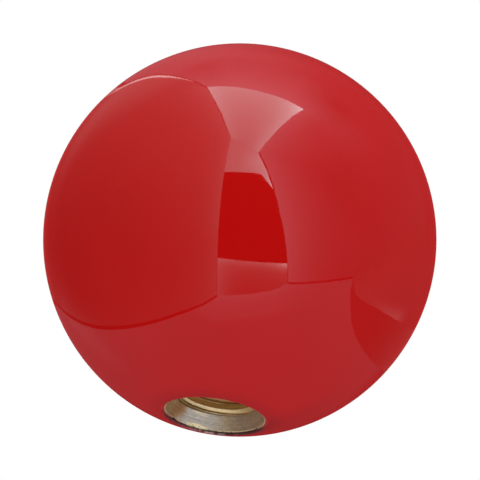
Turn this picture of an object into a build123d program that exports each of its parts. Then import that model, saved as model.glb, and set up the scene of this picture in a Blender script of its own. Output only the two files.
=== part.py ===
"""Ball knob: a sphere of thermoset plastic, moulded round a knurled and tapped brass insert.

The knob stands on its mouth. The origin is the centre of the mouth's flat ring, and +Z runs
along the thread's axis to the top of the ball. Lengths are in millimetres.
"""

import os
from math import radians, sqrt, tan

from build123d import *

# Ball
ball_diameter = 50.0
mouth_flat_width = 0.2  # narrow ring, square to the axis, that is left round the mouth
edge_break = 0.15  # how far the plastic's inner edge opens out from the insert

# Brass insert, outside
insert_diameter = 12.8
insert_recess = 0.2  # the brass rim lies this far inside the mouth
rim_width = 0.2  # flat land between the countersink and the outside
collar_length = 3.0  # plain stretch behind the rim
relief_width = 1.0  # undercut where the knurling tool runs out
relief_depth = 0.6
grip_groove_width = 3.0  # the plastic fills this groove and holds the insert in
grip_groove_depth = 0.85
knurl_teeth = 24
knurl_depth = 0.55
knurl_angle = 90.0
end_chamfer = 0.8
end_wall = 1.6  # brass left beyond the drill's point, which keeps the plastic out

# Tapped hole, M10 x 1.5, drawn at the size of its tapping drill
thread_diameter = 10.0
thread_pitch = 1.5
bore_depth = 18.0  # full-size depth behind the rim
countersink_angle = 60.0
drill_point_angle = 118.0

# Sizes that follow from those above
ball_radius = ball_diameter / 2
insert_radius = insert_diameter / 2
mouth_inner_radius = insert_radius + edge_break
mouth_radius = mouth_inner_radius + mouth_flat_width
centre_height = sqrt(ball_radius**2 - mouth_radius**2)
ball_top = centre_height + ball_radius

rim_height = insert_recess
bore_radius = (thread_diameter - thread_pitch) / 2
countersink_radius = insert_radius - rim_width
countersink_depth = (countersink_radius - bore_radius) / tan(radians(countersink_angle / 2))
bore_end = rim_height + bore_depth
drill_point = bore_end + bore_radius / tan(radians(drill_point_angle / 2))

insert_end = drill_point + end_wall
collar_end = rim_height + collar_length
knurl_start = collar_end + relief_width
knurl_end = insert_end - end_chamfer
relief_radius = insert_radius - relief_depth
grip_groove_radius = insert_radius - grip_groove_depth
grip_groove_start = (knurl_start + knurl_end - grip_groove_width) / 2
grip_groove_end = grip_groove_start + grip_groove_width
knurl_half_opening = 2 * knurl_depth * tan(radians(knurl_angle / 2))

# The insert's outside: a turned bar with a collar, a tool relief, a knurl and a grip groove
with BuildPart() as knurled_blank:
    with BuildSketch(Plane.XZ):
        with BuildLine():
            Polyline(
                (0, rim_height),
                (insert_radius, rim_height),
                (insert_radius, collar_end),
                (relief_radius, collar_end),
                (relief_radius, knurl_start),
                (insert_radius, knurl_start),
                (insert_radius, grip_groove_start),
                (grip_groove_radius, grip_groove_start),
                (grip_groove_radius, grip_groove_end),
                (insert_radius, grip_groove_end),
                (insert_radius, knurl_end),
                (insert_radius - end_chamfer, insert_end),
                (0, insert_end),
                close=True,
            )
        make_face()
    revolve(axis=Axis.Z)
    # One V cut for each tooth, from the relief out through the chamfered end
    with BuildSketch(Plane.XY.offset(knurl_start)):
        with PolarLocations(insert_radius, knurl_teeth):
            Polygon(
                (-knurl_depth, 0),
                (knurl_depth, -knurl_half_opening),
                (knurl_depth, knurl_half_opening),
                align=None,
            )
    extrude(amount=insert_end - knurl_start, mode=Mode.SUBTRACT)

# The insert itself: the knurled blank with its countersunk blind hole
with BuildPart() as threaded_insert:
    add(knurled_blank.part)
    with BuildSketch(Plane.XZ):
        with BuildLine():
            Polyline(
                (0, rim_height),
                (countersink_radius, rim_height),
                (bore_radius, rim_height + countersink_depth),
                (bore_radius, bore_end),
                (0, drill_point),
                close=True,
            )
        make_face()
    revolve(axis=Axis.Z, mode=Mode.SUBTRACT)

# The ball: a sphere faced off at the mouth, whose cavity is the shape of the knurled blank
with BuildPart() as ball:
    with BuildSketch(Plane.XZ):
        with BuildLine():
            Line((0, 0), (mouth_radius, 0))
            ThreePointArc((mouth_radius, 0), (ball_radius, centre_height), (0, ball_top))
            Line((0, ball_top), (0, 0))
        make_face()
    revolve(axis=Axis.Z)
    with BuildSketch(Plane.XZ):
        with BuildLine():
            Polyline(
                (0, 0),
                (mouth_inner_radius, 0),
                (insert_radius, rim_height),
                (0, rim_height),
                close=True,
            )
        make_face()
    revolve(axis=Axis.Z, mode=Mode.SUBTRACT)
    add(knurled_blank.part, mode=Mode.SUBTRACT)

os.makedirs("parts", exist_ok=True)

ball.part.label = "ball"
export_step(ball.part, "parts/ball.step")

threaded_insert.part.label = "threaded_insert"
export_step(threaded_insert.part, "parts/threaded_insert.step")
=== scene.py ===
"""Ball knob for a machine lever: a red ball moulded round a tapped brass insert.

The knob stands on its mouth, with the thread's axis along Z. Lengths are in metres, and mm is
one millimetre.
"""

import math

import bmesh
import bpy
from mathutils import Matrix, Vector, noise


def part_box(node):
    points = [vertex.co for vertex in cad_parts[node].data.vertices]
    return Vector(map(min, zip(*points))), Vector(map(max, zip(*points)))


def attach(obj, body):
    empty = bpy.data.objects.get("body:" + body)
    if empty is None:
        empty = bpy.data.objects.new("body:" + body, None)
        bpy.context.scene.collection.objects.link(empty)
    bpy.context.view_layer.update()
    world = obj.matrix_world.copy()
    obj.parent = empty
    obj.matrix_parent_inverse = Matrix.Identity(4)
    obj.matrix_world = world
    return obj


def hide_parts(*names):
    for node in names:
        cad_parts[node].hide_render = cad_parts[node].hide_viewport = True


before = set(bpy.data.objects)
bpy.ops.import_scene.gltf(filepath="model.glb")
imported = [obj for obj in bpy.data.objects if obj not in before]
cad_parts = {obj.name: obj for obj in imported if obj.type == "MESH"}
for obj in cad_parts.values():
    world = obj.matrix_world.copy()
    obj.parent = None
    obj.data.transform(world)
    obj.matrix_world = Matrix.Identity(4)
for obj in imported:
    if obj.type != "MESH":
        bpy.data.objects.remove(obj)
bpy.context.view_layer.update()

# The ball. One moulding of red phenolic resin, pressed in a polished steel mould round the brass
# insert and then faced off at the mouth. Inside, it grips the knurl and the groove of the insert.

mm = 0.001
insert_low, insert_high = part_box("threaded_insert")
ball_radius = 25 * mm
ball_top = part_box("ball")[1].z
ball_centre = Vector((0, 0, ball_top - ball_radius))

insert_radius = 6.4 * mm
rim_height = insert_low.z
insert_end = insert_high.z
edge_break = 0.15 * mm
mouth_flat_width = 0.2 * mm
mouth_inner_radius = insert_radius + edge_break
mouth_radius = mouth_inner_radius + mouth_flat_width

collar_end = rim_height + 3 * mm
relief_radius = insert_radius - 0.6 * mm
knurl_start = collar_end + 1 * mm
end_chamfer = 0.8 * mm
knurl_end = insert_end - end_chamfer
groove_radius = insert_radius - 0.85 * mm
groove_width = 3 * mm
groove_start = (knurl_start + knurl_end - groove_width) / 2
groove_end = groove_start + groove_width

teeth = 24
tooth_depth = 0.55 * mm
valley_radius = insert_radius - tooth_depth
half_vee = math.radians(45)
vee_reach = half_vee - math.asin(valley_radius / insert_radius * math.sin(half_vee))

# Edges that turn by more than this stay crisp
sharp_angle = math.radians(28)

# Every ring of points has the same angles, which meet the valley and the edges of each tooth
tooth_angle = math.tau / teeth
land_angle = tooth_angle - 2 * vee_reach
tooth_steps = [0, vee_reach / 3, vee_reach * 2 / 3]
tooth_steps += [vee_reach + land_angle * step / 6 for step in range(7)]
tooth_steps += [tooth_angle - vee_reach * 2 / 3, tooth_angle - vee_reach / 3]
around = [tooth * tooth_angle + step for tooth in range(teeth) for step in tooth_steps]


class Skin:
    """One closed mesh, gathered ring by ring."""

    def __init__(self):
        self.points = []
        self.faces = []

    def point(self, place):
        """Adds a point, and gives its number."""
        self.points.append(place)
        return len(self.points) - 1

    def ring(self, radius, height):
        """Adds a ring of points. The radius and the height are numbers or functions of the angle."""
        added = []
        for angle in around:
            reach = radius(angle) if callable(radius) else radius
            z = height(angle) if callable(height) else height
            added.append(self.point((reach * math.cos(angle), reach * math.sin(angle), z)))
        return added

    def face(self, *corners):
        """Adds a face, leaving out corners that fall on the one before."""
        kept = [corner for i, corner in enumerate(corners) if corner != corners[i - 1]]
        if len(kept) > 2:
            self.faces.append(kept)

    def join(self, rings):
        """Joins each ring to the next."""
        for ring, following in zip(rings, rings[1:]):
            for i in range(len(ring)):
                self.face(ring[i - 1], ring[i], following[i], following[i - 1])

    def close(self, ring, height):
        """Closes a ring with a point on the axis."""
        pole = self.point((0, 0, height))
        for i in range(len(ring)):
            self.face(ring[i - 1], ring[i], pole)

    def finish(self, name):
        """Makes the mesh, with its faces turned outward, and puts it in the scene."""
        mesh = bpy.data.meshes.new(name)
        mesh.from_pydata(self.points, [], self.faces)
        shape = bmesh.new()
        shape.from_mesh(mesh)
        bmesh.ops.recalc_face_normals(shape, faces=shape.faces)
        shape.to_mesh(mesh)
        shape.free()
        mesh.shade_smooth()
        mesh.set_sharp_from_angle(angle=sharp_angle)
        made = bpy.data.objects.new(name, mesh)
        bpy.context.scene.collection.objects.link(made)
        return made


def within_vee(radius):
    """The radius left at an angle by the knurl's V cuts."""

    def left(angle):
        from_valley = abs((angle + tooth_angle / 2) % tooth_angle - tooth_angle / 2)
        if from_valley >= vee_reach - 1e-6:
            return radius
        vee = valley_radius * math.sin(half_vee) / math.sin(half_vee - from_valley)
        return min(radius, vee)

    return left


def knurled_rings(skin):
    """The insert's outside, from the rim to its closed end, which the ball's cavity shares."""
    rings = [
        skin.ring(insert_radius, rim_height),
        skin.ring(insert_radius, collar_end),
        skin.ring(relief_radius, collar_end),
        skin.ring(relief_radius, knurl_start),
        skin.ring(within_vee(insert_radius), knurl_start),
        skin.ring(within_vee(insert_radius), groove_start),
        skin.ring(groove_radius, groove_start),
        skin.ring(groove_radius, groove_end),
        skin.ring(within_vee(insert_radius), groove_end),
        skin.ring(within_vee(insert_radius), knurl_end),
    ]
    for step in range(1, 7):
        inward = end_chamfer * step / 6
        rings.append(skin.ring(within_vee(insert_radius - inward), knurl_end + inward))
    skin.join(rings)
    return rings


ball_skin = Skin()
sphere_rings = []
sphere_steps = 180
mouth_angle = math.pi - math.asin(mouth_radius / ball_radius)
for step in range(1, sphere_steps + 1):
    polar = mouth_angle * step / sphere_steps
    height = ball_centre.z + ball_radius * math.cos(polar)
    sphere_rings.append(ball_skin.ring(ball_radius * math.sin(polar), max(height, 0)))
ball_skin.close(sphere_rings[0], ball_top)
cavity_rings = knurled_rings(ball_skin)
faced_ring = ball_skin.ring(mouth_inner_radius, 0)
ball_skin.join(sphere_rings + [faced_ring, cavity_rings[0]])
ball_skin.close(cavity_rings[-1], insert_end)
ball = ball_skin.finish("red_ball")


def new_material(name):
    """Makes a material. Gives it and the inputs of its shader."""
    material = bpy.data.materials.new(name)
    material.use_nodes = True
    return material, material.node_tree.nodes["Principled BSDF"].inputs


def add_node(material, kind, inputs={}, **settings):
    """Adds a node to a material. Each input takes a plain value, or another node's output."""
    node = material.node_tree.nodes.new(kind)
    for name, value in settings.items():
        setattr(node, name, value)
    for name, value in inputs.items():
        if isinstance(value, bpy.types.NodeSocket):
            material.node_tree.links.new(value, node.inputs[name])
        else:
            node.inputs[name].default_value = value
    return node


def maths(material, operation, first, second=0.0, third=0.0, clamp=False):
    """Works out a number from up to three others, each plain or another node's output."""
    node = add_node(
        material,
        "ShaderNodeMath",
        {0: first, 1: second, 2: third},
        operation=operation,
        use_clamp=clamp,
    )
    return node.outputs[0]


def vector_maths(material, operation, first, second=(0, 0, 0)):
    """Works out a vector from two others, or a number from them where the operation gives one."""
    node = add_node(material, "ShaderNodeVectorMath", {0: first, 1: second}, operation=operation)
    return node.outputs["Value" if operation in ("LENGTH", "DOT_PRODUCT") else "Vector"]


def distance(material, value, place):
    """How far a number is from another, either way."""
    return maths(material, "ABSOLUTE", maths(material, "SUBTRACT", value, place))


def rise(material, value, start, end, low=0.0, high=1.0, ease="LINEAR"):
    """Goes from low, where the value is at start, to high, where the value is at end."""
    node = add_node(
        material,
        "ShaderNodeMapRange",
        {"Value": value, "From Min": start, "From Max": end, "To Min": low, "To Max": high},
        interpolation_type=ease,
    )
    return node.outputs["Result"]


def grain(material, place, scale, detail):
    """An uneven pattern, about 0.5 on average."""
    inputs = {"Vector": place, "Scale": scale, "Detail": detail}
    return add_node(material, "ShaderNodeTexNoise", inputs).outputs["Fac"]


def mix(material, share, below, above, blend="MIX"):
    """Mixes two colours, each plain or another node's output. The share is that of the second."""
    node = add_node(material, "ShaderNodeMix", {"Factor": share}, data_type="RGBA", blend_type=blend)
    for socket, colour in ((node.inputs[6], below), (node.inputs[7], above)):
        if isinstance(colour, bpy.types.NodeSocket):
            material.node_tree.links.new(colour, socket)
        else:
            socket.default_value = (*colour, 1)
    return node.outputs[2]


def bands(material, value, stops):
    """Colours that run into each other. Each stop is a value and the colour there."""
    node = add_node(material, "ShaderNodeValToRGB", {"Fac": value})
    elements = node.color_ramp.elements
    for element, (place, colour) in zip(elements, (stops[0], stops[-1])):
        element.position = place
        element.color = (*colour, 1)
    for place, colour in stops[1:-1]:
        elements.new(place).color = (*colour, 1)
    return node.outputs["Color"]


# Moulded resin: a deep red with the faint cloudiness of its wood-flour filler, under a skin as
# smooth as the mould, with a few hair-fine rub marks. The faced ring at the mouth is dull.
resin, resin_inputs = new_material("red_phenolic_resin")
where = add_node(resin, "ShaderNodeTexCoord").outputs["Object"]
height_up = add_node(resin, "ShaderNodeSeparateXYZ", {"Vector": where}).outputs["Z"]
flattened = vector_maths(resin, "MULTIPLY", where, (1, 1, 0))
out_from_axis = vector_maths(resin, "LENGTH", flattened)
heading = vector_maths(resin, "NORMALIZE", flattened)
heading_parts = add_node(resin, "ShaderNodeSeparateXYZ", {"Vector": heading}).outputs
cloudiness = maths(resin, "ADD", grain(resin, where, 130, 4), grain(resin, where, 2600, 2))
red = bands(resin, cloudiness, [(0.6, (0.447, 0.0036, 0.0029)), (1, (0.479, 0.004, 0.0033))])

# Painted shade darkens the red close round the mouth, and further out on one side
close_reach = mouth_radius + 2.2 * mm
wide_reach = 17 * mm
shaded_heading = (0.92, 0.38, 0)
close_shade = rise(resin, out_from_axis, close_reach, mouth_radius, 0, 0.2, "SMOOTHSTEP")
wide_shade = rise(resin, out_from_axis, wide_reach, mouth_radius, 0, 0.3)
toward_side = vector_maths(resin, "DOT_PRODUCT", heading, shaded_heading)
shaded_side = rise(resin, toward_side, 0.66, 1, ease="SMOOTHSTEP")
mouth_shade = maths(resin, "MULTIPLY_ADD", shaded_side, wide_shade, close_shade)
lower_half = maths(resin, "LESS_THAN", height_up, ball_centre.z)
shaded_red = mix(resin, maths(resin, "MULTIPLY", mouth_shade, lower_half), red, (0.06, 0.002, 0.004))

# Smears of brass and painted pink highlights on the faced ring, painted shade on its far side and at the
# brass
ring_noise = grain(resin, where, 1900, 3)
smear_and_highlight_stops = [
    (0.1, (0.16, 0.008, 0.014)), (0.24, (0.3, 0.05, 0.055)), (0.37, (0.42, 0.2, 0.19)),
    (0.5, (0.46, 0.3, 0.25)), (0.63, (0.2, 0.14, 0.14)), (0.78, (0.1, 0.045, 0.045)),
    (0.9, (0.07, 0.02, 0.02)),
]
across_mouth = maths(resin, "MULTIPLY_ADD", ring_noise, 0.4, heading_parts["X"])
ring_smear_and_shade = bands(resin, rise(resin, across_mouth, -0.8, 1.2), smear_and_highlight_stops)
far_side = rise(resin, heading_parts["Y"], 0, 0.4)
shade_patches = maths(resin, "MULTIPLY", far_side, rise(resin, ring_noise, 0.42, 0.58))
ring_smear_and_shade = mix(resin, shade_patches, (0.12, 0.006, 0.01), ring_smear_and_shade)
joint_shade = rise(resin, out_from_axis, insert_radius + 0.06 * mm, insert_radius + 0.02 * mm)
ring_smear_and_shade = mix(resin, maths(resin, "MULTIPLY", joint_shade, far_side), ring_smear_and_shade, (0.05, 0.008, 0.008))
ring_red = mix(resin, far_side, (0.4, 0.006, 0.006), ring_smear_and_shade)
within_edge = rise(resin, out_from_axis, mouth_radius + 0.12 * mm, mouth_radius)
in_mouth = maths(resin, "MULTIPLY", within_edge, maths(resin, "LESS_THAN", height_up, rim_height * 2))
resin.node_tree.links.new(mix(resin, in_mouth, shaded_red, ring_red), resin_inputs["Base Color"])

# The rubs take a little off the gloss, and a soft bloom lights the red where it is seen edge-on
rub_place = add_node(resin, "ShaderNodeMapping", {"Vector": where, "Scale": (900, 5200, 2600)})
rubs = grain(resin, rub_place.outputs[0], 1, 3)
dullness = rise(resin, in_mouth, 0, 1, rise(resin, rubs, 0.45, 0.75, 0.03, 0.075), 0.3)
resin.node_tree.links.new(dullness, resin_inputs["Roughness"])
resin_inputs["IOR"].default_value = 1.55
resin_inputs["Sheen Weight"].default_value = 0.75
resin_inputs["Sheen Roughness"].default_value = 0.38
resin_inputs["Sheen Tint"].default_value = (0.8, 0.03, 0.03, 1)

ball.data.materials.append(resin)
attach(ball, "root")
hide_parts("ball")

# The insert. Turned and knurled from brass bar, drilled, countersunk and tapped M10 x 1.5 from the
# mouth. It was loaded into the mould before the resin, which holds it by its knurl and its groove.
# Years of rods going in and out have worn its lip and the crests of its first turns.

thread_pitch = 1.5 * mm
root_radius = 5.12 * mm
first_foot = 2.16 * mm
ridge_width = 1.29 * mm
burr_place = 1.08 * mm
burr_width = 0.1 * mm
burr_rise = 0.08 * mm
flank_slope = math.tan(math.radians(60))
crest_radius = 4.25 * mm
crest_wear = 0.43 * mm
tap_offset = 0.17 * mm
worn_side = math.radians(175)
worn_end = 4 * mm
sound_start = 8 * mm
thread_start = 1.6 * mm
run_out_start = 14 * mm
thread_end = 17 * mm
bore_depth = 18 * mm
bore_end = rim_height + bore_depth
half_drill_angle = math.radians(59)
drill_point = bore_end + crest_radius / math.tan(half_drill_angle)

lip_radius = insert_radius - 0.2 * mm
lip_height = rim_height + 0.24 * mm
cone_slope = math.tan(math.radians(30))
cone_start = 0.5 * mm
cone_end = 2.2 * mm
cone_lean = 0.1 * mm
blunt_slope = 2.9

insert_skin = Skin()


def countersink(angle, height):
    """The countersink's radius. Near its end, which leans a little, the cutter's tip is blunt."""
    end = cone_end - cone_lean * math.cos(angle)
    past_end = max(height - end, 0)
    return lip_radius - (height - past_end - lip_height) * cone_slope - past_end * blunt_slope


def thread_radius(angle, height):
    """The radius of the right-hand thread. Its crests are worn near the mouth, more on one side."""
    above_foot = (height - first_foot - thread_pitch * angle / math.tau) % thread_pitch
    ridge = max(min(above_foot, ridge_width - above_foot), 0) * flank_slope
    burr = burr_rise * max(1 - abs(above_foot - burr_place) / burr_width, 0)
    wear = crest_wear + tap_offset * math.cos(angle - worn_side)
    wear *= min(max((sound_start - height) / (sound_start - worn_end), 0), 1)
    run_out = min(max((thread_end - height) / (thread_end - run_out_start), 0), 1)
    grooved = crest_radius + (root_radius - crest_radius - ridge) * run_out
    return max(grooved, crest_radius + wear * run_out - burr)


def wall_radius(angle, height):
    return max(thread_radius(angle, height), countersink(angle, height))


# The tap's rows of points follow the helix, so that each crest and root is a clean line. The steps
# are in millimetres up from a ridge's foot, and the rows run past both ends of the thread.
row_steps = [0, 0.06, 0.12, 0.18, 0.24, 0.3, 0.36, 0.6, 0.85]
row_steps += [0.98, 1.03, 1.08, 1.13, 1.18, 1.23, 1.29, 1.4]
rows_in_turn = len(row_steps)
columns = len(around)
lowest_row = -3 * rows_in_turn
highest_row = 12 * rows_in_turn
wall_points = {}


def wall_point(column, row):
    """One point of the hole's wall. A row that has gone once round is the row one pitch above."""
    turns, column = divmod(column, columns)
    turn, step = divmod(row + turns * rows_in_turn, rows_in_turn)
    angle = around[column]
    height = first_foot + row_steps[step] * mm + thread_pitch * (turn + angle / math.tau)
    key = (column, turn, step)
    if height <= thread_start:
        key, height = (column, "start"), thread_start
    elif height >= thread_end:
        key, height = (column, "end"), thread_end
    if key not in wall_points:
        radius = wall_radius(angle, height)
        place = (radius * math.cos(angle), radius * math.sin(angle), height)
        wall_points[key] = insert_skin.point(place)
    return wall_points[key]


for column in range(columns):
    for row in range(lowest_row, highest_row):
        insert_skin.face(
            wall_point(column, row),
            wall_point(column + 1, row),
            wall_point(column + 1, row + 1),
            wall_point(column, row + 1),
        )

outer_rings = knurled_rings(insert_skin)
insert_skin.close(outer_rings[-1], insert_end)


def nicked(reach, depth):
    """A radius with small dents in it, as the lip has from knocks."""

    def dented(angle):
        around_lip = Vector((math.cos(angle), math.sin(angle), reach / mm))
        dent = max(noise.noise(around_lip * 9) - 0.1, 0) + 0.5 * max(noise.noise(around_lip * 31), 0)
        return reach + depth * dent

    return dented


# The lip, worn round: each radius, height and depth of the dents in millimetres
rim_rings = [outer_rings[0]]
lip_profile = [(6.34, 0.2, 0.02), (6.3, 0.21, 0.06), (6.26, 0.24, 0.12), (6.23, 0.28, 0.13)]
lip_profile += [(6.21, 0.33, 0.12), (6.195, 0.39, 0.08), (6.175, 0.46, 0.02)]
for radius, height, dents in lip_profile:
    rim_rings.append(insert_skin.ring(nicked(radius * mm, dents * mm), height * mm))
for step in range(1, 8):
    height = cone_start + (thread_start - cone_start) * step / 8
    rim_rings.append(insert_skin.ring(countersink(0, height), height))
rim_rings.append([wall_point(column, lowest_row) for column in range(columns)])
insert_skin.join(rim_rings)
end_rings = [
    [wall_point(column, highest_row) for column in range(columns)],
    insert_skin.ring(crest_radius, bore_end),
]
insert_skin.join(end_rings)
insert_skin.close(end_rings[-1], drill_point)
insert = insert_skin.finish("brass_insert")

# Brass, dulled by handling, with olive and brown oxide over the countersink's turning marks.
# The countersink carries a painted grey reflection and painted golden highlights, and the thread's
# flanks a painted highlight on one side. Its crests are brown painted shade, and its roots are dark.
brass, brass_inputs = new_material("turned_brass")
brass_place = add_node(brass, "ShaderNodeTexCoord").outputs["Object"]
part = add_node(brass, "ShaderNodeSeparateXYZ", {"Vector": brass_place}).outputs
turned = maths(brass, "ARCTAN2", part["Y"], part["X"])
across_squared = maths(brass, "MULTIPLY", part["X"], part["X"])
deep_squared = maths(brass, "MULTIPLY", part["Y"], part["Y"])
from_axis = maths(brass, "SQRT", maths(brass, "ADD", across_squared, deep_squared))
sideways = maths(brass, "DIVIDE", part["X"], from_axis)
sides = maths(brass, "MULTIPLY_ADD", sideways, 0.5, 0.5)
patina = grain(brass, brass_place, 420, 4)
specks = grain(brass, brass_place, 3200, 3)

# The lathe's fine rings
round_about = maths(brass, "MULTIPLY", turned, 0.8)
fine_rings = maths(brass, "MULTIPLY", part["Z"], 6500)
turning_place = add_node(brass, "ShaderNodeCombineXYZ", {"X": round_about, "Y": fine_rings})
turning = grain(brass, turning_place.outputs[0], 1, 3)

# The thread, coloured by how far through its pitch a place is
pitches_up = maths(brass, "DIVIDE", maths(brass, "SUBTRACT", part["Z"], first_foot), thread_pitch)
turns_round = maths(brass, "DIVIDE", turned, math.tau)
phase = maths(brass, "FRACT", maths(brass, "SUBTRACT", pitches_up, turns_round))
gold = (1, 0.8, 0.44)
dull_gold = (0.8, 0.58, 0.3)
olive_gold = (0.42, 0.25, 0.09)
shaded_crest_brown = (0.46, 0.25, 0.07)
shaded_brown = (0.38, 0.19, 0.05)
thread_dark = (0.26, 0.14, 0.03)
# The flanks' gold fades from side to side as a painted highlight
flank_highlight_stops = [(0.15, gold), (0.55, gold), (0.72, dull_gold), (0.9, olive_gold)]
# The browns on the crests are painted shade, and the roots and a line along the crests are dark
thread_stops = [
    (0.0, gold), (0.15, gold), (0.2, shaded_brown), (0.3, shaded_brown), (0.4, shaded_crest_brown), (0.5, shaded_crest_brown),
    (0.53, thread_dark), (0.56, thread_dark), (0.6, shaded_crest_brown), (0.65, shaded_crest_brown), (0.68, gold), (0.83, gold),
    (0.86, thread_dark), (0.97, thread_dark), (1.0, gold),
]
# A painted glint along the burr, brightest on the far wall
burr_glint_stops = [
    (0.2, thread_dark), (0.36, (0.5, 0.36, 0.17)), (0.5, (0.8, 0.6, 0.33)), (0.62, (0.6, 0.45, 0.25)),
    (0.8, (0.45, 0.3, 0.15)),
]
in_flank = rise(brass, phase, 0.185, 0.165)
in_edge = rise(brass, distance(brass, phase, 0.75), 0.11, 0.09)
thread_colour = mix(brass, in_flank, bands(brass, phase, thread_stops), bands(brass, sides, flank_highlight_stops))
thread_colour = mix(brass, in_edge, thread_colour, bands(brass, sides, burr_glint_stops))
# Deeper in, painted shade turns the thread a saturated brown
deep_in = rise(brass, part["Z"], 3.1 * mm, 4 * mm, 0, 0.55)
thread_colour = mix(brass, deep_in, thread_colour, (0.72, 0.36, 0.1))

# The countersink, from side to side: olive, brown, a pale grey patch that is a painted reflection, then
# brown again
grey_reflection = (0.73, 0.67, 0.56)
cone_stops = [
    (0.0, (0.46, 0.32, 0.17)), (0.05, (0.46, 0.23, 0.09)), (0.11, (0.56, 0.3, 0.13)), (0.18, grey_reflection),
    (0.36, grey_reflection), (0.46, (0.68, 0.61, 0.51)), (0.55, (0.6, 0.5, 0.38)), (0.65, (0.57, 0.42, 0.26)),
    (0.78, (0.47, 0.32, 0.21)), (1.0, (0.47, 0.3, 0.18)),
]
uneven_patina = maths(brass, "SUBTRACT", patina, 0.5)
wander = maths(brass, "MULTIPLY", uneven_patina, 0.22)
across_cone = maths(brass, "MULTIPLY_ADD", sideways, 0.5, maths(brass, "ADD", wander, 0.5))
cone_colour = bands(brass, across_cone, cone_stops)
cone_height = maths(brass, "MULTIPLY_ADD", sideways, cone_lean, part["Z"])

# Painted golden highlights beside the grey reflection: along the countersink's end and along its lip
golden_side = rise(brass, distance(brass, sideways, -0.33), 0.27, 0.1, ease="SMOOTHSTEP")
off_middle = distance(brass, cone_height, 1.2 * mm)
ragged = maths(brass, "MULTIPLY_ADD", uneven_patina, 0.7 * mm, off_middle)
ragged = maths(brass, "MULTIPLY_ADD", maths(brass, "SUBTRACT", turning, 0.5), 1.2 * mm, ragged)
near_edges = rise(brass, ragged, 0.46 * mm, 0.8 * mm, ease="SMOOTHSTEP")
less_within = rise(brass, cone_height, 1 * mm, 1.4 * mm, 1, 0.5)
painted_gold_highlight = maths(brass, "MULTIPLY", maths(brass, "MULTIPLY", golden_side, near_edges), less_within)
cone_colour = mix(brass, painted_gold_highlight, cone_colour, (1, 0.85, 0.53))
in_thread = rise(brass, cone_height, cone_end - 0.01 * mm, cone_end + 0.01 * mm)
brass_colour = mix(brass, in_thread, cone_colour, thread_colour)

# Painted shade along the countersink's end, heavier on one side, and, on the far side, in the joint with
# the resin
from_end = distance(brass, cone_height, cone_end - 0.05 * mm)
end_shade = rise(brass, from_end, 0.1 * mm, 0.06 * mm)
end_shade = maths(brass, "MULTIPLY", end_shade, maths(brass, "MULTIPLY_ADD", sideways, -0.45, 0.75))
brass_colour = mix(brass, end_shade, brass_colour, (0.17, 0.08, 0.012))
brass_joint_shade = rise(brass, from_axis, insert_radius - 0.19 * mm, insert_radius - 0.14 * mm)
far_brass = rise(brass, maths(brass, "DIVIDE", part["Y"], from_axis), 0.1, 0.55)
brass_joint_shade = maths(brass, "MULTIPLY", brass_joint_shade, far_brass)
brass_colour = mix(brass, brass_joint_shade, brass_colour, (0.05, 0.02, 0.012))

# The lip is rubbed bright, with a painted highlight that varies round it, and olive pits where the patina
# is left
pit_olive = (0.42, 0.33, 0.12)
lip_highlight_stops = [
    (0.04, (0.5, 0.27, 0.14)), (0.12, (0.8, 0.52, 0.3)), (0.2, (1, 0.82, 0.5)), (0.4, (1, 0.84, 0.52)),
    (0.47, (0.6, 0.46, 0.24)), (0.6, (0.88, 0.7, 0.38)), (0.85, (0.9, 0.65, 0.36)), (1.0, (0.5, 0.33, 0.2)),
]
pits = rise(brass, specks, 0.54, 0.6)
above_lip = rise(brass, part["Z"], 0.85 * mm, 0.7 * mm, 0, 0.8)
pitted = maths(brass, "MULTIPLY", maths(brass, "MULTIPLY", above_lip, golden_side), pits)
brass_colour = mix(brass, pitted, brass_colour, pit_olive)
lip_colour = mix(brass, pits, bands(brass, sides, lip_highlight_stops), pit_olive)
lip_low = rise(brass, part["Z"], 0.46 * mm, 0.34 * mm)
lip_share = maths(brass, "SUBTRACT", lip_low, brass_joint_shade, clamp=True)
brass_colour = mix(brass, lip_share, brass_colour, lip_colour)

# Every colour is a little lighter and darker along the turning and in specks
unevenness = maths(brass, "MULTIPLY_ADD", turning, 1.5, specks)
shade = rise(brass, unevenness, 0.85, 1.65, 0.72, 1.25)
shading = add_node(brass, "ShaderNodeCombineColor", {"Red": shade, "Green": shade, "Blue": shade})
brass_colour = mix(brass, 1.0, brass_colour, shading.outputs[0], "MULTIPLY")
brass.node_tree.links.new(brass_colour, brass_inputs["Base Color"])

# The dull film scatters some light, and the bare lip, the flanks and the painted highlights less of it
bare_and_highlit = maths(brass, "MAXIMUM", lip_share, maths(brass, "MAXIMUM", in_thread, painted_gold_highlight))
brass.node_tree.links.new(rise(brass, bare_and_highlit, 0, 1, 0.55, 0.05), brass_inputs["Metallic"])
brass_inputs["Roughness"].default_value = 0.4
marks = add_node(brass, "ShaderNodeBump", {"Height": turning, "Strength": 0.25, "Distance": 0.02 * mm})
brass.node_tree.links.new(marks.outputs[0], brass_inputs["Normal"])

insert.data.materials.append(brass)
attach(insert, "root")
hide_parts("threaded_insert")

# The camera. It looks up at the mouth from below, a little rolled, and from far enough to flatten
# the view. The shift moves the picture by a fraction of a pixel, across a picture 480 pixels wide.

view_elevation = -22
view_roll = math.radians(8.13)
view_distance = 0.6
view_lens = 353.85
picture_width = 480
picture_shift = 0.22


def toward(azimuth, elevation):
    """A direction from the ball: azimuth 0 is the camera's side, -Y, and it turns toward +X."""
    azimuth, elevation = math.radians(azimuth), math.radians(elevation)
    level = math.cos(elevation)
    return Vector((math.sin(azimuth) * level, -math.cos(azimuth) * level, math.sin(elevation)))


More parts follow.
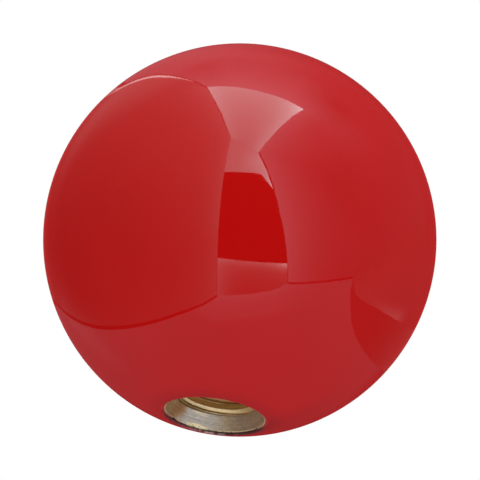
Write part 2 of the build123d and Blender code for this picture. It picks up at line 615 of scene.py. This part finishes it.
toward_camera = toward(0, view_elevation)
level_right = Vector((1, 0, 0))
level_up = toward_camera.cross(level_right)
view_right = math.cos(view_roll) * level_right + math.sin(view_roll) * level_up
view_up = toward_camera.cross(view_right)
camera = bpy.data.objects.new("camera", bpy.data.cameras.new("camera"))
camera.data.lens = view_lens
camera.data.shift_x = picture_shift / picture_width
camera.matrix_world = Matrix((view_right, view_up, toward_camera)).transposed().to_4x4()
camera.location = ball_centre + view_distance * toward_camera
bpy.context.scene.collection.objects.link(camera)
bpy.context.scene.camera = camera

# The table. A sheet of pale paper under the knob, which shows its shadow from above. It is clear
# from below, where the camera is, and fades to white away from the knob.

table_radius = 0.6
fade_start = 0.05
fade_end = 0.3
table_skin = Skin()
table_rings = [table_skin.ring(table_radius * step / 12, 0) for step in range(12, 0, -1)]
table_skin.join(table_rings)
table_skin.close(table_rings[-1], 0)
table = table_skin.finish("table")

paper = bpy.data.materials.new("pale_paper")
paper.use_nodes = True
paper.node_tree.nodes.clear()
paper_place = add_node(paper, "ShaderNodeTexCoord").outputs["Object"]
faded = rise(paper, vector_maths(paper, "LENGTH", paper_place), fade_start, fade_end, ease="SMOOTHSTEP")
camera_ray = add_node(paper, "ShaderNodeLightPath").outputs["Is Camera Ray"]
underside = add_node(paper, "ShaderNodeNewGeometry").outputs["Backfacing"]
from_above = maths(paper, "SUBTRACT", camera_ray, underside, clamp=True)
shown = maths(paper, "SUBTRACT", from_above, faded, clamp=True)
sheet = add_node(paper, "ShaderNodeBsdfDiffuse", {"Color": (0.82, 0.82, 0.82, 1)})
nothing = add_node(paper, "ShaderNodeBsdfTransparent")
paper_mix = add_node(
    paper,
    "ShaderNodeMixShader",
    {"Fac": shown, 1: nothing.outputs[0], 2: sheet.outputs[0]},
)
add_node(paper, "ShaderNodeOutputMaterial", {"Surface": paper_mix.outputs[0]})
table.data.materials.append(paper)

# The light tent. White cloth on a frame, open at the front for the camera, with one bright lamp
# over the opening. The cloth's soft light shows the ball's red, and its seams show in the gloss.

# The panels' corners are given for a camera 0.6 degrees higher, so the tent leans down with it
tent_lean = Matrix.Rotation(math.radians(0.6), 3, "X")

# Mirror-like surfaces see each cloth's own light and tint. All others see one soft light, given by
# its level, and by its slope and its bow along each axis.
soft_level = 0.898
soft_tilt = Vector((0.075, -0.147, 0.265))
soft_squares = Vector((-0.36, 0, 0.49))
soft_white = (1, 1, 1.04)

# Distances from the ball. A nearer cloth hides what hangs behind it.
shell_distance = 6.5
slack_distance = 6.3
gap_distance = 6.2
lamp_distance = 6.1
opening_distance = 6.0
sill_distance = 5.9
wall_distance = 5.8
seam_distance = 5.5
hem_distance = 5.4

cloth = bpy.data.materials.new("tent_cloth")
cloth.use_nodes = True
cloth.node_tree.nodes.clear()
cloth_place = add_node(cloth, "ShaderNodeNewGeometry").outputs["Position"]
cloth_heading = vector_maths(cloth, "NORMALIZE", cloth_place)
heading_squares = vector_maths(cloth, "MULTIPLY", cloth_heading, cloth_heading)
sloped = maths(cloth, "ADD", vector_maths(cloth, "DOT_PRODUCT", cloth_heading, soft_tilt), soft_level)
soft = maths(cloth, "ADD", sloped, vector_maths(cloth, "DOT_PRODUCT", heading_squares, soft_squares))
glossy_ray = add_node(cloth, "ShaderNodeLightPath").outputs["Is Glossy Ray"]
woven_glow = add_node(cloth, "ShaderNodeAttribute", attribute_name="glow").outputs["Fac"]
woven_tint = add_node(cloth, "ShaderNodeAttribute", attribute_name="tint").outputs["Color"]
strength = add_node(cloth, "ShaderNodeMix", {"Factor": glossy_ray, "A": soft, "B": woven_glow})
shine = add_node(
    cloth,
    "ShaderNodeEmission",
    {"Color": mix(cloth, glossy_ray, soft_white, woven_tint), "Strength": strength.outputs["Result"]},
)
add_node(cloth, "ShaderNodeOutputMaterial", {"Surface": shine.outputs[0]})
cloth.cycles.emission_sampling = "NONE"

# The tints of the cloths
plain_white = (1, 1, 1)
cool_white = (1, 1, 1.14)
lamp_white = (0.7, 1, 1.03)


def hang(name, distance, rows, glow, tint=plain_white):
    """Hangs a piece of cloth, given by rows of directions, at a distance from the ball.

    The glow is a function that gives the cloth's light in a direction.
    """
    width = len(rows[0])
    directions = [direction for row in rows for direction in row]
    points = [ball_centre + tent_lean @ direction * distance for direction in directions]
    faces = []
    for start in range(0, (len(rows) - 1) * width, width):
        for i in range(start, start + width - 1):
            faces.append((i, i + 1, i + 1 + width, i + width))
    mesh = bpy.data.meshes.new(name)
    mesh.from_pydata(points, [], faces)
    levels = mesh.attributes.new("glow", "FLOAT", "POINT")
    levels.data.foreach_set("value", [glow(direction) for direction in directions])
    tints = mesh.attributes.new("tint", "FLOAT_COLOR", "POINT")
    tints.data.foreach_set("color", [*tint, 1] * len(directions))
    mesh.materials.append(cloth)
    piece = bpy.data.objects.new(name, mesh)
    bpy.context.scene.collection.objects.link(piece)
    piece.visible_camera = False
    piece.visible_transmission = False


def rail(corners, count=49, curved=False):
    """Directions evenly spaced along a rail, straight from corner to corner or curved through them."""
    ends = [toward(*corner) for corner in corners]
    path = []
    for i in range(len(ends) - 1):
        start, end = ends[i], ends[i + 1]
        before = ends[i - 1] if i else 2 * start - end
        after = ends[i + 2] if i + 2 < len(ends) else 2 * end - start
        for step in range(24):
            t = step / 24
            bend_in = (end - before) / 2 - (end - start)
            bend_out = (after - start) / 2 - (end - start)
            place = start.lerp(end, t)
            if curved:
                place += t * (1 - t) * ((1 - t) * bend_in - t * bend_out)
            path.append(place.normalized())
    path.append(ends[-1])
    reached = [0]
    for start, end in zip(path, path[1:]):
        reached.append(reached[-1] + (end - start).length)
    spaced = []
    i = 0
    for step in range(count):
        wanted = reached[-1] * step / (count - 1)
        while i < len(path) - 2 and reached[i + 1] < wanted:
            i += 1
        t = (wanted - reached[i]) / (reached[i + 1] - reached[i])
        spaced.append(path[i].lerp(path[i + 1], t).normalized())
    return spaced


def between(lower, upper, steps=16):
    """Rows of directions from one rail to another of as many directions."""
    rows = []
    for step in range(steps + 1):
        rows.append([a.lerp(b, step / steps).normalized() for a, b in zip(lower, upper)])
    return rows


def ribbon(path, width):
    """Rows of directions for a seam along a path. Its width in degrees may change from end to end."""
    edges = ([], [])
    for i, direction in enumerate(path):
        along = path[min(i + 1, len(path) - 1)] - path[max(i - 1, 0)]
        half = math.radians(width(i / (len(path) - 1)) if callable(width) else width) / 2
        side = direction.cross(along).normalized() * half
        edges[0].append((direction + side).normalized())
        edges[1].append((direction - side).normalized())
    return edges


def frontness(direction):
    """1 toward the camera and 0 straight behind."""
    return (1 - direction.dot(toward(*straight_behind))) / 2


def away_from(corners):
    """A function that gives the degrees between a direction and the line through some corners.

    A corner given twice is a point.
    """
    ends = [toward(*corner) for corner in corners]

    def degrees(direction):
        angles = []
        for start, end in zip(ends, ends[1:]):
            run = end - start
            t = (direction - start).dot(run) / max(run.length_squared, 1e-9)
            t = min(max(t, 0), 1)
            angles.append(direction.angle(start.lerp(end, t)))
        return math.degrees(min(angles))

    return degrees


def ramp(value, low, high):
    """Eases from 0 at low to 1 at high."""
    t = min(max((value - low) / (high - low), 0), 1)
    return t * t * (3 - 2 * t)


def hump(value, middle, reach):
    """1 in the middle, easing to 0 on both sides of it."""
    return math.exp(-(((value - middle) / reach) ** 2))


def fade(degrees, reach):
    """1 on a line, falling off with the degrees away from it."""
    return math.exp(-degrees / reach)


# Corners of the opening, of its sill and of the lamp, as azimuth and elevation in degrees
straight_behind = (180, 21.4)
opening_low_left, opening_low_right = (-13.3, -32.8), (33.2, -27.5)
opening_high_left, opening_high_right = (-14, 16.8), (15.2, 10.2)
sill_low_left, sill_low_right = (-13.8, -54.5), (39.1, -37.1)
neck_left, neck_right = (-14.7, 38.5), (3.7, 31.7)
lamp_left, lamp_right = (-70.3, 68.9), (46.4, 65)
sill_bottom = [sill_low_left, (3.3, -53.2), (20.2, -49.2), (34, -42.8), sill_low_right]
lamp_top = [lamp_left, (-48, 74.6), (0.5, 75.7), (31, 71.6), lamp_right]
left_front = [
    sill_low_left, opening_low_left, opening_high_left, neck_left, (-22.4, 47.7), (-36.8, 59.1), lamp_left,
]
right_front = [
    sill_low_right, opening_low_right, opening_high_right, neck_right, (11, 43.3), (21.3, 53.6), lamp_right,
]
right_bottom = [sill_low_right, (44.1, -35.5), (57.6, -28.7), (69.1, -21.2), (77.4, -15.4)]

# The roof and the right wall are one cloth, brightest along its front edge and under the lamp
from_right_front = away_from(right_front + [lamp_left])
from_sill_bottom = away_from(sill_bottom + right_bottom[1:])


def roof_glow(direction):
    """Even light, with a ridge and lifts where the cloth is pulled up, and sags beside them."""
    x, y, z = direction
    near_front = 1.03 * fade(from_right_front(direction), 20)
    evenness = 0.06 * x + 0.19 * x * x + 0.43 * z - 0.31 * z * z - 0.34 * x * z
    ridge = 0.07 * hump(x, 0.03, 0.17) * ramp(z, 0.76, 0.9) * (1 - ramp(y, 0.4, 0.8))
    sag = 0.13 * hump(x, 0.44, 0.12) * ramp(z, 0.6, 0.85) * (1 - ramp(y, 0, 0.3))
    sag += 0.14 * ramp(z, 0.82, 0.93) * ramp(-x, 0.15, 0.3) * (1 - ramp(y, 0.25, 0.45))
    lift = 0.06 * hump(x, -0.17, 0.13) * ramp(y, 0.3, 0.5)
    lift += 0.07 * hump(x, 0.2, 0.1) * ramp(z, 0.88, 0.95) * (1 - ramp(y, 0.1, 0.3))
    far = 1 - 0.4 * ramp(y, 0.6, 0.76) * ramp(x, -0.05, 0.12)
    return max((near_front + evenness + ridge + lift - sag - 0.1) * far, 0.02)


def floor_glow(direction):
    """Brightest toward the camera and close below the sill."""
    x, y, z = direction
    front = frontness(direction)
    from_sill = from_sill_bottom(direction)
    near_sill = 0.13 * (1 - ramp(from_sill, 11, 18)) + 0.25 * fade(from_sill, 3.5)
    near_sill *= 1 - ramp(x, 0.35, 0.85)
    far_left = 0.05 * ramp(y, 0.6, 0.75) * ramp(-x, 0.42, 0.6)
    evenness = 1.29 * front - 0.77 * front * front + 0.21 * z - 0.03 * x
    return max(evenness + near_sill + far_left, 0.04)


def shell_glow(direction):
    """The floor's light below and the roof's above. They meet higher up on the left."""
    floor = floor_glow(direction)
    left = ramp(-direction.x, 0.1, 0.3)
    upward = ramp(direction.z, 0.4 * left - 0.1, 0.25 * left + 0.2)
    return floor + (roof_glow(direction) - floor) * upward


shell_rows = []
row_angle = 1.5
for step in range(-60, 61):
    shell_rows.append([toward(azimuth, step * row_angle) for azimuth in range(-180, 181, 2)])
hang("tent_shell", shell_distance, shell_rows, shell_glow, cool_white)

# Right back: a slack panel, with a bright fold along its lower edge and a dark gap below the fold
slack_corner = right_bottom[-1]
fold = [
    (85.3, -19.4), (91.1, -18.8), (98.8, -16.3), (106.4, -13), (115.1, -9.2), (126.6, -3.5),
    (141.3, 4.3),
]
gap_bottom = [
    slack_corner, (82.1, -21), (88.1, -24.4), (97.2, -26.8), (104.8, -26.8), (113.2, -24.9),
    (122.6, -21.1), (132.4, -15.3), (143.3, -7.3), (157.4, 4.6), straight_behind,
]
slack_top = [slack_corner, (81.7, -9.8), (87.9, -2.2), (97.5, 9.3), (114.5, 22.1), straight_behind]
slack_bottom = [slack_corner, *fold, (152.7, 10), straight_behind]
from_fold = away_from(fold)
from_slack_top = away_from(slack_top)


def slack_glow(direction):
    """Dark, with the fold lit along its lower edge. Its top melts into the roof."""
    fold_light = 0.25 * hump(from_fold(direction), 0, 2.6) * ramp(direction.z, -0.3, -0.1)
    fold_light *= 1 - ramp(direction.y, 0.58, 0.76)
    slack = 0.01 + 0.5 * frontness(direction) + fold_light
    roof = roof_glow(direction)
    return roof + (slack - roof) * ramp(from_slack_top(direction), -4, 11)


def gap_glow(direction):
    """Dark, with a little of the shell's light at its far end."""
    dark = 0.055 + 0.1 * frontness(direction)
    from_behind = math.degrees(direction.angle(toward(*straight_behind)))
    into_shell = 0.15 * ramp(from_behind, 62, 30)
    return dark + (shell_glow(direction) - dark) * into_shell


slack_count = 97
slack_edge = rail(slack_bottom, slack_count)
slack_rows = between(slack_edge, rail(slack_top, slack_count), 48)
hang("slack_panel", slack_distance, slack_rows, slack_glow)
gap_rows = between(rail(gap_bottom, slack_count, curved=True), slack_edge)
hang("gap", gap_distance, gap_rows, gap_glow)

# The lamp, and the neck of cloth that it lights below it, down to the opening
from_left_edge = away_from([neck_left, lamp_left])
from_right_edge = away_from([neck_right, lamp_right])
from_lamp_tip = away_from([lamp_right, lamp_right])
from_neck_tip = away_from([opening_high_right, opening_high_right])
from_neck_right = away_from([opening_high_right, neck_right])


def lamp_glow(direction):
    """Brighter toward the top, along both edges and at the right-hand tip."""
    edges = 1.23 * fade(from_left_edge(direction), 5) + 2.56 * fade(from_right_edge(direction), 6)
    return 4.26 * direction.z - 1.55 + edges + 3.3 * fade(from_lamp_tip(direction), 4)


def neck_glow(direction):
    """Brighter along the right edge, in a band across the middle and at the lower tip."""
    edge = fade(from_neck_right(direction), 3.5)
    band = 0.6 * hump(direction.z, 0.43, 0.08) * ramp(direction.x, -0.15, 0.05)
    return 1.6 + edge + band + 5.6 * fade(from_neck_tip(direction), 7)


lamp_rows = between(rail([neck_left, neck_right]), rail(lamp_top, curved=True), 40)
hang("lamp", lamp_distance, lamp_rows, lamp_glow, lamp_white)
neck_bottom = rail([(-20, 16), (15.2, 10.2), (22, 4)])
neck_rows = between(neck_bottom, rail([(-20, 38.3), neck_left, neck_right]), 24)
hang("neck", lamp_distance, neck_rows, neck_glow, lamp_white)

# The opening, with the dark room behind it, and its sill
opening_top = [(-20, 16.5), opening_high_left, (6.3, 18.5), opening_high_right, (22, -2)]
opening_low = [(-20, -32), opening_low_left, opening_low_right, (40, -28)]
opening_rows = between(rail(opening_low), rail(opening_top))
hang("opening", opening_distance, opening_rows, lambda direction: 0.0)
from_sill_top = away_from([opening_low_left, opening_low_right])
from_sill_left = away_from([opening_low_left, sill_low_left])
from_sill_corner = away_from([opening_low_right, opening_low_right])


def sill_glow(direction):
    """Brighter toward the top, along the rim and the left edge, and most in the right-hand corner."""
    near_corner = fade(from_sill_corner(direction), 5.5)
    rim = (0.9 + 4 * near_corner) * fade(from_sill_top(direction), 2)
    return 1.04 + 1.1 * direction.z + rim + 0.62 * fade(from_sill_left(direction), 6)


sill_top = rail([opening_low_left, opening_low_right])
sill_rows = between(rail(sill_bottom, curved=True), sill_top, 24)
hang("sill", sill_distance, sill_rows, sill_glow)

# The left wall, and the right wall, whose top melts into the roof
left_bottom = [
    sill_low_left, (-25.5, -58.4), (-39.8, -60.2), (-61.8, -59.6), (-82.7, -55.9), (-99.2, -49.3),
    (-112.3, -40.8), (-121.9, -32.1), (-130, -23.1), (-136.7, -14.8), (-147, -2.2), (-159.8, 9.9),
    straight_behind,
]
left_top = [
    lamp_left, (-87.1, 68.5), (-95.7, 67.5), (-110.4, 64.5), (-124.3, 59.9), (-133.9, 55.4),
    (-144.5, 48.7), (-151, 43.3), (-161.1, 34.9), straight_behind,
]
from_left_front = away_from(left_front)
from_left_seam = away_from(left_bottom[3:])
from_hem = away_from(left_top[2:])


def left_glow(direction):
    """Brightest along the front edge, and a little brighter under the hem and over the floor seam."""
    x, y, z = direction
    front = frontness(direction)
    near_front = 0.38 * fade(from_left_front(direction), 6) * (1 - 0.4 * ramp(-z, 0.2, 0.45))
    evenness = 1.05 * front - 0.74 * front * front + 0.1 * z + 0.05 * front * z + 0.32 * x
    under_hem = 0.125 * (1 - ramp(from_hem(direction), 6, 28))
    under_hem *= ramp(y, 0, 0.3) * (1 - ramp(y, 0.6, 0.85))
    over_seam = 0.08 * fade(from_left_seam(direction), 6)
    over_seam *= ramp(y, 0.4, 0.75) * (1 - ramp(z, 0, 0.15))
    far = 0.01 * ramp(y, 0.45, 0.6) + 0.03 * ramp(y, 0.7, 0.85) * ramp(z, 0.15, 0.3)
    return max(near_front + evenness + 0.116 + under_hem + over_seam - far, 0.02)


front_count = 60
back_count = 62
left_rim = rail(left_front, front_count) + rail(left_top, 82, curved=True)[1:]
left_rows = between(rail(left_bottom, len(left_rim), curved=True), left_rim, 32)
hang("left_wall", wall_distance, left_rows, left_glow)
right_top = [lamp_right, (100, 75), straight_behind]
right_rim = rail(right_front, front_count) + rail(right_top, back_count)[1:]
right_low = rail(right_bottom, front_count, curved=True) + rail(slack_top, back_count)[1:]
right_rows = between(right_low, right_rim, 32)
hang("right_wall", wall_distance, right_rows, roof_glow, cool_white)

# Dark seams between the panels, each with its path, its width in degrees and its light


def left_floor_width(t):
    """Widest a third of the way along, and narrow at the far end."""
    return max(1.1 + 3.4 * t - 5 * t * t, 0.4)


seams = {
    "left_floor_seam": (rail(left_bottom, 101, curved=True), left_floor_width, 0.01),
    "right_floor_seam": (rail(right_bottom, curved=True), 1.1, 0.02),
    "sill_left_seam": (rail([opening_low_left, sill_low_left]), 0.4, 0.15),
    "sill_right_seam": (rail([opening_low_right, sill_low_right]), 0.5, 0.12),
    "neck_seam": (rail([opening_high_right, neck_right]), 0.9, 0.05),
    "lamp_seam": (rail(left_front[3:]), 0.35, 0.3),
    "roof_seam": (rail([lamp_left, (-77.4, 68.7), (-87.1, 68.5), (-95.7, 67.5)]), 0.5, 0.08),
}
for name, (path, width, level) in seams.items():
    hang(name, seam_distance, ribbon(path, width), lambda direction: level)

# The lit hem along the left wall's top, and the shadow behind it. Both start narrow.
hem_drop = Vector((0, 0, 0.009))
shadow_rise = Vector((0, 0, 0.019))
hem_path = [(place - hem_drop).normalized() for place in rail(left_top[2:], curved=True)]
shadow_path = [(place + shadow_rise).normalized() for place in hem_path]


def shadow_width(t):
    return 0.2 + 0.9 * min(t * 4, 1)


def hem_width(t):
    return 0.15 + 0.85 * min(t * 4, 1)


def hem_glow(direction):
    return min(max(6.8 * direction.z - 3.3, 0.25), 2.4)


hang("roof_shadow", seam_distance, ribbon(shadow_path, shadow_width), lambda direction: 0.05)
hang("roof_hem", hem_distance, ribbon(hem_path, hem_width), hem_glow)

# The white background. The camera and clear things see it past the tent, and shiny things would
# see it where no cloth hangs. It lights nothing, because the tent does that.

world = bpy.data.worlds.new("white")
bpy.context.scene.world = world
world.use_nodes = True
background = world.node_tree.nodes["Background"]
rays = add_node(world, "ShaderNodeLightPath").outputs
camera_or_glossy = maths(world, "ADD", rays["Is Camera Ray"], rays["Is Glossy Ray"])
bright = maths(world, "ADD", camera_or_glossy, rays["Is Transmission Ray"], clamp=True)
background.inputs["Color"].default_value = (1, 1, 1, 1)
world.node_tree.links.new(bright, background.inputs["Strength"])
bpy.context.scene.view_settings.view_transform = "Standard"
